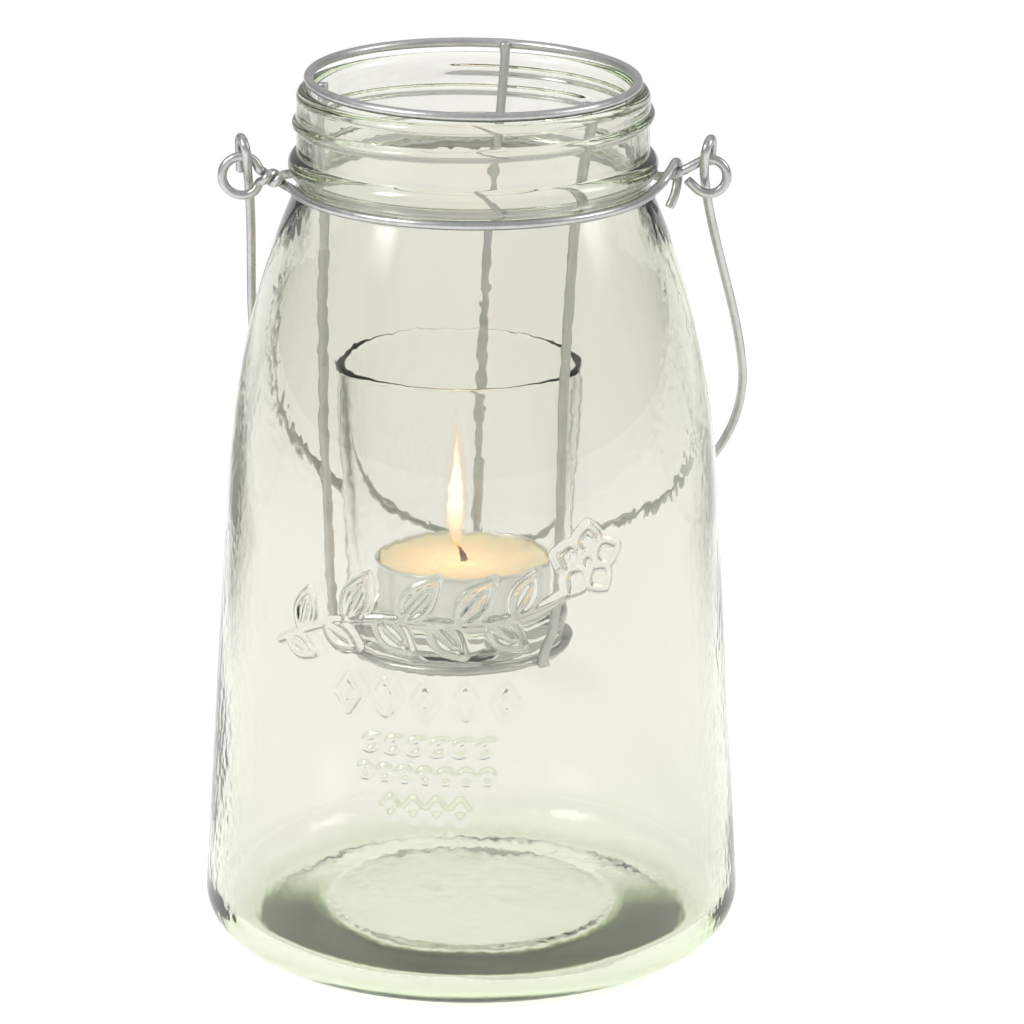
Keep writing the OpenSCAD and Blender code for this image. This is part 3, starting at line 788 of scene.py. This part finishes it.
def right_strand():
    """From the ring's back half through the hook to the right eye."""
    crossing = np.array([43.6, 0.7, 170.5])
    start = right_eye(RIGHT_EYE_START)
    controls = [crossing, [45.2, 0, 171.35], start + 1.6 * eye_dir(RIGHT_EYE_START), start]
    return np.concatenate([
        blend(ring_point(14), -ring_dir(14), crossing, np.array([2.1, -0.9, 1.15]), 14),
        bezier(controls, np.linspace(0, 1, 13)[1:])])


def build_collar():
    eye_end = right_eye(RIGHT_EYE_END)
    path = np.concatenate([
        catmull_rom([ring_point(348)] + RIGHT_HOOK, 8)[::-1],
        [ring_point(a) for a in np.arange(347, 195, -1.0)],
        left_strand(-1),
        [left_eye(a) for a in np.arange(-50, -311, -3.0)],
        left_strand(1)[::-1],
        [ring_point(a) for a in np.arange(164, 14, -1.0)],
        right_strand(),
        [right_eye(a) for a in np.arange(120, -134, -3.0)],
        [eye_end, eye_end - 2.8 * eye_dir(RIGHT_EYE_END)]])
    collar = tube("collar_wire", relax(resample(path, 0.4), 4), WIRE_R, mat_wire)
    register(collar, "collar", "neck_wire")


build_collar()

# ------------------------------------------------------------------ bail
# Drawn hanging straight down from the hinge line, then swung back.
BAIL_SWING = math.radians(30.2)
HINGE_Z = 173.95
# x of the arm and of the tail of each end hook
LEFT_ARM_X, LEFT_TAIL_X, LEFT_TAIL = -48.35, -50.1, 6.2
RIGHT_ARM_X, RIGHT_TAIL_X, RIGHT_TAIL = 49.5, 51.2, 3.6
HOOK_Y, ARM_Y = 2.55, 1.0  # distance forward of the hinge plane at the hook, down the arm
HOOK_RISE = 2.3
ARM_LENGTH, BAIL_LENGTH = 62.0, 117.0
BAIL_SKEW = 0.1
HINGE_HALF = (RIGHT_ARM_X - LEFT_ARM_X) / 2
BAIL_HALF = 53.9


def bail_centre(drop):
    return (LEFT_ARM_X + RIGHT_ARM_X) / 2 + BAIL_SKEW * drop * drop / (drop + 8)


def bail_hook(arm_x, tail_x, tail):
    """From the tail's end over the top to the arm."""
    half = np.array([(tail_x - arm_x) / 2, HOOK_Y, 0])
    radius = np.linalg.norm(half)
    centre = np.array([(arm_x + tail_x) / 2, 0, HOOK_RISE])
    over = [centre + radius * (math.cos(a) * half / radius + math.sin(a) * np.array([0, 0, 1.0]))
            for a in np.linspace(0, math.pi, 25)]
    return np.concatenate([[[tail_x, HOOK_Y, -tail], [tail_x, HOOK_Y, -tail / 2],
                            [tail_x, HOOK_Y, 0]],
                           over, [[arm_x, -HOOK_Y, 1.0], [arm_x, -HOOK_Y, 0.0]]])


def bail_arm(side):
    """Arm on the left (-1) or right (+1), from the hook down."""
    points = []
    for drop in np.concatenate([np.arange(0.6, 9, 0.6), np.linspace(9.2, ARM_LENGTH, 30)]):
        half = HINGE_HALF + (BAIL_HALF - HINGE_HALF) * smoothstep(drop / ARM_LENGTH)
        y = -(HOOK_Y + (ARM_Y - HOOK_Y) * smoothstep((drop - 0.6) / 7.5))
        points.append([bail_centre(drop) + side * half, y, -drop])
    return np.array(points)


def build_bail():
    bow = []
    for angle in np.linspace(0, math.pi, 91)[1:-1]:
        drop = ARM_LENGTH + (BAIL_LENGTH - ARM_LENGTH) * math.sin(angle)
        bow.append([bail_centre(drop) - BAIL_HALF * math.cos(angle), -ARM_Y, -drop])
    path = np.concatenate([
        bail_hook(LEFT_ARM_X, LEFT_TAIL_X, LEFT_TAIL), bail_arm(-1), bow,
        bail_arm(1)[::-1], bail_hook(RIGHT_ARM_X, RIGHT_TAIL_X, RIGHT_TAIL)[::-1]])
    x, y, z = relax(resample(path, 0.5), 4).T
    c, s = math.cos(BAIL_SWING), math.sin(BAIL_SWING)
    path = np.stack([x, c * y - s * z, s * y + c * z + HINGE_Z], 1)
    bail = tube("bail_wire", path, WIRE_R, mat_wire)
    register(bail, "bail", "bail_handle")


build_bail()

# ------------------------------------------------------------------ hanger
TOP_R, TOP_Z = 35.2, 190.62
LIFT_ANGLE = 135.0  # the top ring is highest here, at the back left
LIFT = TOP_R * math.sin(math.radians(1.05))
BASE_R, BASE_Z = 23.9, 66.0
BASKET_X = -2.9     # the basket hangs off the jar's axis
BASKET = np.array([BASKET_X, 0, 0])
LEG_TOP_R = TOP_R - 2 * WIRE_R + 0.06
LEG_FOOT_R = BASE_R + 2 * WIRE_R - 0.08
LEG_RISE = 0.75     # a leg's end above the top ring's centre line
# name, node replaced, top angle, foot angle, points between as x, y, z
LEGS = [
    ("hanger_wire_left", "hanger_leg_left", 196, 196,
     [[-31.6, -9.0, 165], [-31.7, -8.2, 129], [-30.9, -8.0, 96], [-29.9, -8.0, 74]]),
    ("hanger_wire_right", "hanger_leg_right", 316, 316,
     [[21.9, -20.4, 172], [20.0, -20.2, 145], [18.8, -20.0, 120], [18.2, -19.2, 80]]),
    ("hanger_wire_back", "hanger_leg_back", 78, 82,
     [[5.0, 31.2, 165], [2.4, 28.4, 129], [1.2, 27.0, 96], [0.7, 26.3, 76]])]


def top_point(angle, radius=TOP_R):
    return polar(angle, radius, TOP_Z + LIFT * (1 + math.cos(math.radians(angle - LIFT_ANGLE))))


def base_point(angle, radius=BASE_R):
    return BASKET + polar(angle, radius, BASE_Z)


def welded(path, welds):
    """Wire radius along a path, swollen at each (point, amount, width)."""
    radius = np.full(len(path), WIRE_R)
    for point, amount, width in welds:
        distance = np.linalg.norm(path - point, axis=1)
        radius += amount * np.exp(-(distance / width) ** 2)
    return radius


def build_ring(name, replaced, path, welds):
    path = np.array(path)
    ring = tube(name, path, welded(path, welds), mat_hanger, closed=True)
    register(ring, "hanger", replaced)


def build_leg(name, replaced, top_angle, foot_angle, middle):
    weld = top_point(top_angle, LEG_TOP_R)
    top = weld + [0, 0, LEG_RISE]
    foot = base_point(foot_angle, LEG_FOOT_R)
    lower = catmull_rom([top - [0, 0, 4]] + middle + [foot + [0, 0, 1.6], foot - [0, 0, 1.0]], 14)
    path = relax(resample(np.concatenate([[top], lower]), 0.5), 3)
    radius = welded(path, [(weld, 0.17, 1.5), (foot, 0.17, 1.5)])
    register(tube(name, path, radius, mat_hanger, sides=20), "hanger", replaced)


# welds to the legs, and one small swelling of the top ring near the front
build_ring("hanger_ring_top", "hanger_top_ring", [top_point(a) for a in np.arange(0, 360, 0.8)],
           [(top_point(leg[2], 33.9), 0.10, 1.8) for leg in LEGS] + [(top_point(-84), 0.09, 0.9)])
build_ring("hanger_ring_base", "hanger_base_ring",
           [base_point(a) for a in np.arange(0, 360, 1.2)],
           [(base_point(leg[3], 24.5), 0.10, 1.8) for leg in LEGS])
for leg in LEGS:
    build_leg(*leg)

# ------------------------------------------------------------------ votive glass
VOTIVE_Z = BASE_Z + 0.62
VOTIVE_FOOT_R, VOTIVE_TOP_R, VOTIVE_H = 23.6, 26.5, 63.2
VOTIVE_FLOOR, VOTIVE_HEEL_R, VOTIVE_RIM_T = 5.4, 1.2, 1.9
VOTIVE_LOW_T, VOTIVE_CORNER_R = 2.2, 3  # wall just above the floor, inside corner
VOTIVE_UNDERSIDE = [[0, 0.8], [8, 0.8], [14, 0.8], [16, 0.55], [17.2, 0.08], [18.4, 0]]


def build_votive():
    rim_z = VOTIVE_H - VOTIVE_RIM_T / 2
    corner_z = VOTIVE_FLOOR + VOTIVE_CORNER_R
    out_z = np.linspace(VOTIVE_HEEL_R + 0.6, rim_z - 0.4, 70)
    out_r = np.interp(out_z, [VOTIVE_HEEL_R, rim_z], [VOTIVE_FOOT_R, VOTIVE_TOP_R])
    in_z = np.linspace(rim_z - 0.5, VOTIVE_FLOOR + 3.3, 60)
    in_r = np.interp(in_z, [corner_z, rim_z],
                     [VOTIVE_FOOT_R - VOTIVE_LOW_T, VOTIVE_TOP_R - VOTIVE_RIM_T])
    outside = np.concatenate([
        VOTIVE_UNDERSIDE,
        arc((VOTIVE_FOOT_R - VOTIVE_HEEL_R, VOTIVE_HEEL_R), VOTIVE_HEEL_R, -90, 0, 8),
        np.stack([out_z, out_r], 1)[:, ::-1]])
    profile = np.concatenate([
        outside,
        arc((VOTIVE_TOP_R - VOTIVE_RIM_T / 2, rim_z), VOTIVE_RIM_T / 2, 0, 180, 14),
        np.stack([in_r, in_z], 1),
        arc((VOTIVE_FOOT_R - VOTIVE_LOW_T - VOTIVE_CORNER_R, corner_z), VOTIVE_CORNER_R,
            0, -90, 10),
        [[14, VOTIVE_FLOOR - 0.02], [8, VOTIVE_FLOOR - 0.05], [0, VOTIVE_FLOOR - 0.06]]])
    outer_rows = len(outside) + 8  # up to the top of the rim

    def relief(row, angle, radius, z):
        wave = np.clip((z - 6) / 8, 0, 1) * (
            0.06 * np.sin(2 * angle + 0.5 + 0.03 * z)
            + 0.018 * np.sin(5 * angle + 1.7) * np.sin(0.12 * z)
            + 0.005 * np.sin(13 * angle + 0.6) * np.sin(0.3 * z + 1))
        d_radius = np.where(row < outer_rows, wave * 0.35 - 0.02, wave)
        top = np.clip((z - (VOTIVE_H - 3)) / 3, 0, 1)
        return d_radius, top * 0.08 * np.sin(3 * angle + 0.9)

    votive = lathe("votive_cup", profile, full_turn(160), mat_votive,
                   centre=(BASKET_X, 0, VOTIVE_Z), relief=relief)
    register(votive, "votive", "votive_glass")


build_votive()

# ------------------------------------------------------------------ tealight
CUP_X, CUP_Z = -1.9, VOTIVE_Z + VOTIVE_FLOOR + 0.1
CUP_R, CUP_H, CUP_T = 19.2, 14.0, 0.4
WAX_Z, WAX_H = CUP_Z + CUP_T + 0.02, CUP_H - CUP_T - 0.7
WICK_TOP = WAX_Z + 0.25 + WAX_H + 2.6
WICK_FOOT = WAX_Z + 0.6
WICK_BEND = 1.75    # how far the tip leans to the left
WICK_STATIONS = 34
FLAME_X = CUP_X - WICK_BEND
FLAME_BOTTOM, FLAME_TOP = WICK_TOP + 0.1, 115.5
HALO_TOP = FLAME_TOP + 4.0


def build_cup():
    profile = np.concatenate([
        [[0, 0.12], [8, 0.12], [12, 0.05], [14, 0.0]],
        [[CUP_R - 1.6, 0.0], [CUP_R - 1.15, 0.08], [CUP_R - 0.86, 0.32], [CUP_R - 0.74, 0.7]],
        [[CUP_R - 0.74 + 0.42 * t, 0.7 + (CUP_H - 1.6) * t] for t in np.linspace(0.05, 1, 18)],
        arc((CUP_R - 0.32, CUP_H - 0.42), 0.32, -60, 200, 14),
        [[CUP_R - 0.68 - 0.44 * t, CUP_H - 0.62 - (CUP_H - 1.5) * t]
         for t in np.linspace(0.0, 1, 18)],
        [[CUP_R - 1.35, 0.62], [CUP_R - 1.7, CUP_T], [12, CUP_T], [6, CUP_T], [0, CUP_T]]])

    def relief(row, angle, radius, z):
        """Fine flutes up the side and a slightly wavy rim."""
        side = np.clip((z - 0.8) / 1.5, 0, 1) * np.clip((CUP_H - 1.2 - z) / 1.0, 0, 1)
        flutes = (0.035 * np.sin(46 * angle)
                  + 0.02 * np.sin(9 * angle + 0.6) * np.sin(0.5 * z))
        rim = np.clip(z - CUP_H + 1.2, 0, 1)
        return side * (radius > 17) * flutes, 0.04 * np.sin(5 * angle + 1.0) * rim

    cup = lathe("tealight_shell", profile, full_turn(184), cup_material(),
                centre=(CUP_X, 0, CUP_Z), relief=relief)
    register(cup, "tealight", "tealight_cup")


def build_wax():
    # (radius, z) up the side, then (radius, depth below the wax height) in to the wick
    side = [[0, 0.35], [5.9, 0.35], [6.1, 0.02], [12, 0.0], [CUP_R - 1.9, 0.0],
            [CUP_R - 1.5, 0.25], [CUP_R - 1.32, 0.8]]
    side += [[CUP_R - 1.32 + 0.38 * t, 0.8 + (WAX_H - 1.0) * t] for t in np.linspace(0.1, 1, 10)]
    pool = [(CUP_R - 1.05, 0.02), (CUP_R - 1.35, 0.12), (CUP_R - 1.8, 0.3), (CUP_R - 2.6, 0.5),
            (CUP_R - 4, 0.62), (13, 0.72), (10, 0.84), (7, 0.92), (4, 0.98), (2.2, 0.98),
            (1.4, 0.8), (1.0, 0.5), (0.8, 0.42), (0, 0.42)]

    def relief(row, angle, radius, z):
        top = (z > WAX_H - 1.3) & (radius < CUP_R - 1.1)
        wave = (0.07 * np.sin(3 * angle + 0.4 + 0.2 * radius)
                + 0.05 * np.sin(5 * angle - 0.3 * radius))
        return 0.0, np.where(top, wave, 0) * np.clip((radius - 1.5) / 3, 0, 1)

    wax = lathe("wax_fill", side + [[radius, WAX_H - depth] for radius, depth in pool],
                full_turn(120), wax_material(centre_x=CUP_X * MM, radius=0.0185),
                centre=(CUP_X, 0, WAX_Z), relief=relief)
    register(wax, "tealight", "candle_wax")


def build_wick():
    t = np.linspace(0, 1, WICK_STATIONS)
    bend = np.clip((t - 0.72) / 0.28, 0, 1)
    path = np.stack([CUP_X - WICK_BEND * bend ** 1.6, np.zeros(WICK_STATIONS),
                     WICK_FOOT + (WICK_TOP - WICK_FOOT + 0.8) * t], 1)
    radius = 0.66 - 0.26 * bend + 0.04 * np.sin(np.arange(WICK_STATIONS) * 2.1)
    wick = tube("braided_wick", path, radius, wick_material(top=(WICK_TOP + 0.3) * MM),
                sides=14, bevel=0.1)
    register(wick, "tealight", "candle_wick")


def build_teardrop(name, radius, height, material, bottom):
    profile = np.stack([radius, height * np.linspace(0, 1, len(radius))], 1)
    drop = lathe(name, profile, full_turn(40), material, centre=(FLAME_X, 0, bottom))
    register(drop, "tealight")


def build_flame():
    t = np.linspace(0, 1, 60)
    build_teardrop("flame_halo", 2.9 * np.sin(math.pi * t ** 0.62) ** 0.8,
                   HALO_TOP - FLAME_BOTTOM, halo_material(FLAME_BOTTOM * MM, HALO_TOP * MM),
                   bottom=FLAME_BOTTOM - 0.3)
    radius = (2.05 * np.sin(math.pi * t ** 0.56) ** 0.95 * (1 - 0.30 * t)
              * np.clip((1 - t) / 0.5, 0, 1) ** 0.25)
    build_teardrop("flame", radius, FLAME_TOP - FLAME_BOTTOM,
                   flame_material(FLAME_BOTTOM * MM, FLAME_TOP * MM), bottom=FLAME_BOTTOM)


build_cup()
build_wax()
build_wick()
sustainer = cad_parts["wick_sustainer"]
sustainer.data.materials.clear()
sustainer.data.materials.append(
    wire_material("tinned_steel", dark=(0.5, 0.5, 0.5), light=(0.75, 0.75, 0.74),
                  smoothest=0.25, roughest=0.4, scale_shift=3.0))
build_flame()

# ------------------------------------------------------------------ floor and world
FLOOR_HALF, FLOOR_Z = 6000, -0.02
floor = make_mesh("floor", [[x * FLOOR_HALF, y * FLOOR_HALF, FLOOR_Z]
                            for x, y in ((-1, -1), (1, -1), (1, 1), (-1, 1))],
                  [[0, 1, 2, 3]], (), floor_material())


def build_world():
    """White surroundings, darker low down at the left and right."""
    world = bpy.data.worlds.new("studio")
    bpy.context.scene.world = world
    w = Shader(world, "OutputWorld")
    x, _, z = w.split(w.add("TexCoord").outputs["Generated"])
    high = w.fade(z, start=0.0, end=0.55, at_start=0.0, at_end=1.0)
    sides = w.fade(w.magnitude(x), start=0.35, end=0.85, at_start=1.0, at_end=0.32)
    # inputs 0, 2 and 3 of a float mix are its factor and two values
    level = w.add("Mix", {0: high, 2: sides, 3: 1.0}, data_type="FLOAT").outputs[0]
    w.finish(w.add("Background", {"Color": (1.0, 1.0, 1.0, 1.0),
                                  "Strength": w.times(level, 0.52)}))


build_world()


# ------------------------------------------------------------------ lights
def add_object(name, data):
    ob = bpy.data.objects.new(name, data)
    bpy.context.scene.collection.objects.link(ob)
    return ob


def area_light(name, location, target, width, height, power):
    light = bpy.data.lights.new(name, "AREA")
    light.energy = power
    light.shape = "RECTANGLE"
    light.size = width
    light.size_y = height
    ob = add_object(name, light)
    ob.location = location
    ob.rotation_mode = "QUATERNION"
    ob.rotation_quaternion = (Vector(target) - Vector(location)).to_track_quat("-Z", "Y")
    return light


def diffuse(light, gain):
    """A diffuser that is bright in the middle and fades out to its frame."""
    s = Shader(light, "OutputLight")
    across = s.split(s.add("NewGeometry").outputs["Parametric"])
    fades = [s.fade(s.magnitude(s.minus(across[k], 0.5)),
                    start=0.10, end=0.50, at_start=gain, at_end=0.0) for k in range(2)]
    s.finish(s.add("Emission", {"Strength": s.times(*fades)}))


def flame_light():
    """Lights the surroundings without showing as a point in glass or metal."""
    light = bpy.data.lights.new("flame_glow", "POINT")
    light.energy = 0.012
    light.color = (1.0, 0.55, 0.22)
    light.shadow_soft_size = 0.003
    ob = add_object("flame_glow", light)
    ob.location = (FLAME_X * MM, 0, 0.098)
    ob.visible_transmission = False
    ob.visible_glossy = False
    ob.visible_camera = False


left_box = area_light("softbox_left", location=(-0.84, -0.50, 0.88), target=(0, 0, 0.10),
                      width=0.46, height=0.80, power=7.5)
right_box = area_light("softbox_right", location=(1.00, -0.12, 0.72), target=(0, 0, 0.10),
                       width=0.55, height=0.75, power=3.4)
diffuse(left_box, gain=1.5)
diffuse(right_box, gain=1.5)
area_light("top_fill", location=(0.0, 0.35, 1.5), target=(0, 0, 0.05),
           width=1.2, height=1.0, power=1.0)
flame_light()


# ------------------------------------------------------------------ camera and render
def build_camera():
    """In front of the jar, looking down on it, with a little yaw and roll."""
    data = bpy.data.cameras.new("camera")
    data.sensor_width = 36.0
    data.lens = 192.09375
    data.clip_start = 0.05
    data.clip_end = 50
    camera = add_object("camera", data)
    pitch, yaw, roll = (math.radians(a) for a in (16.941, 0.435, 0.275))
    forward = Vector((math.sin(yaw) * math.cos(pitch), math.cos(yaw) * math.cos(pitch),
                      -math.sin(pitch)))
    level = Vector((math.cos(yaw), -math.sin(yaw), 0))
    up = level.cross(forward)
    axes = Matrix((math.cos(roll) * level + math.sin(roll) * up,
                   -math.sin(roll) * level + math.cos(roll) * up, -forward))
    place = Matrix.Translation((0.0, -1.1427, 0.4427))
    camera.matrix_world = place @ axes.transposed().to_4x4()
    bpy.context.scene.camera = camera


build_camera()
scene = bpy.context.scene
scene.view_settings.view_transform = "Standard"
scene.view_settings.look = "None"
scene.view_settings.exposure = 0.0
scene.cycles.max_bounces = 18
scene.cycles.transmission_bounces = 16
scene.cycles.transparent_max_bounces = 24
scene.cycles.glossy_bounces = 6
scene.cycles.diffuse_bounces = 2
scene.cycles.volume_bounces = 0
scene.cycles.caustics_reflective = True
scene.cycles.caustics_refractive = True
scene.cycles.sample_clamp_indirect = 6.0
scene.cycles.use_denoising = True
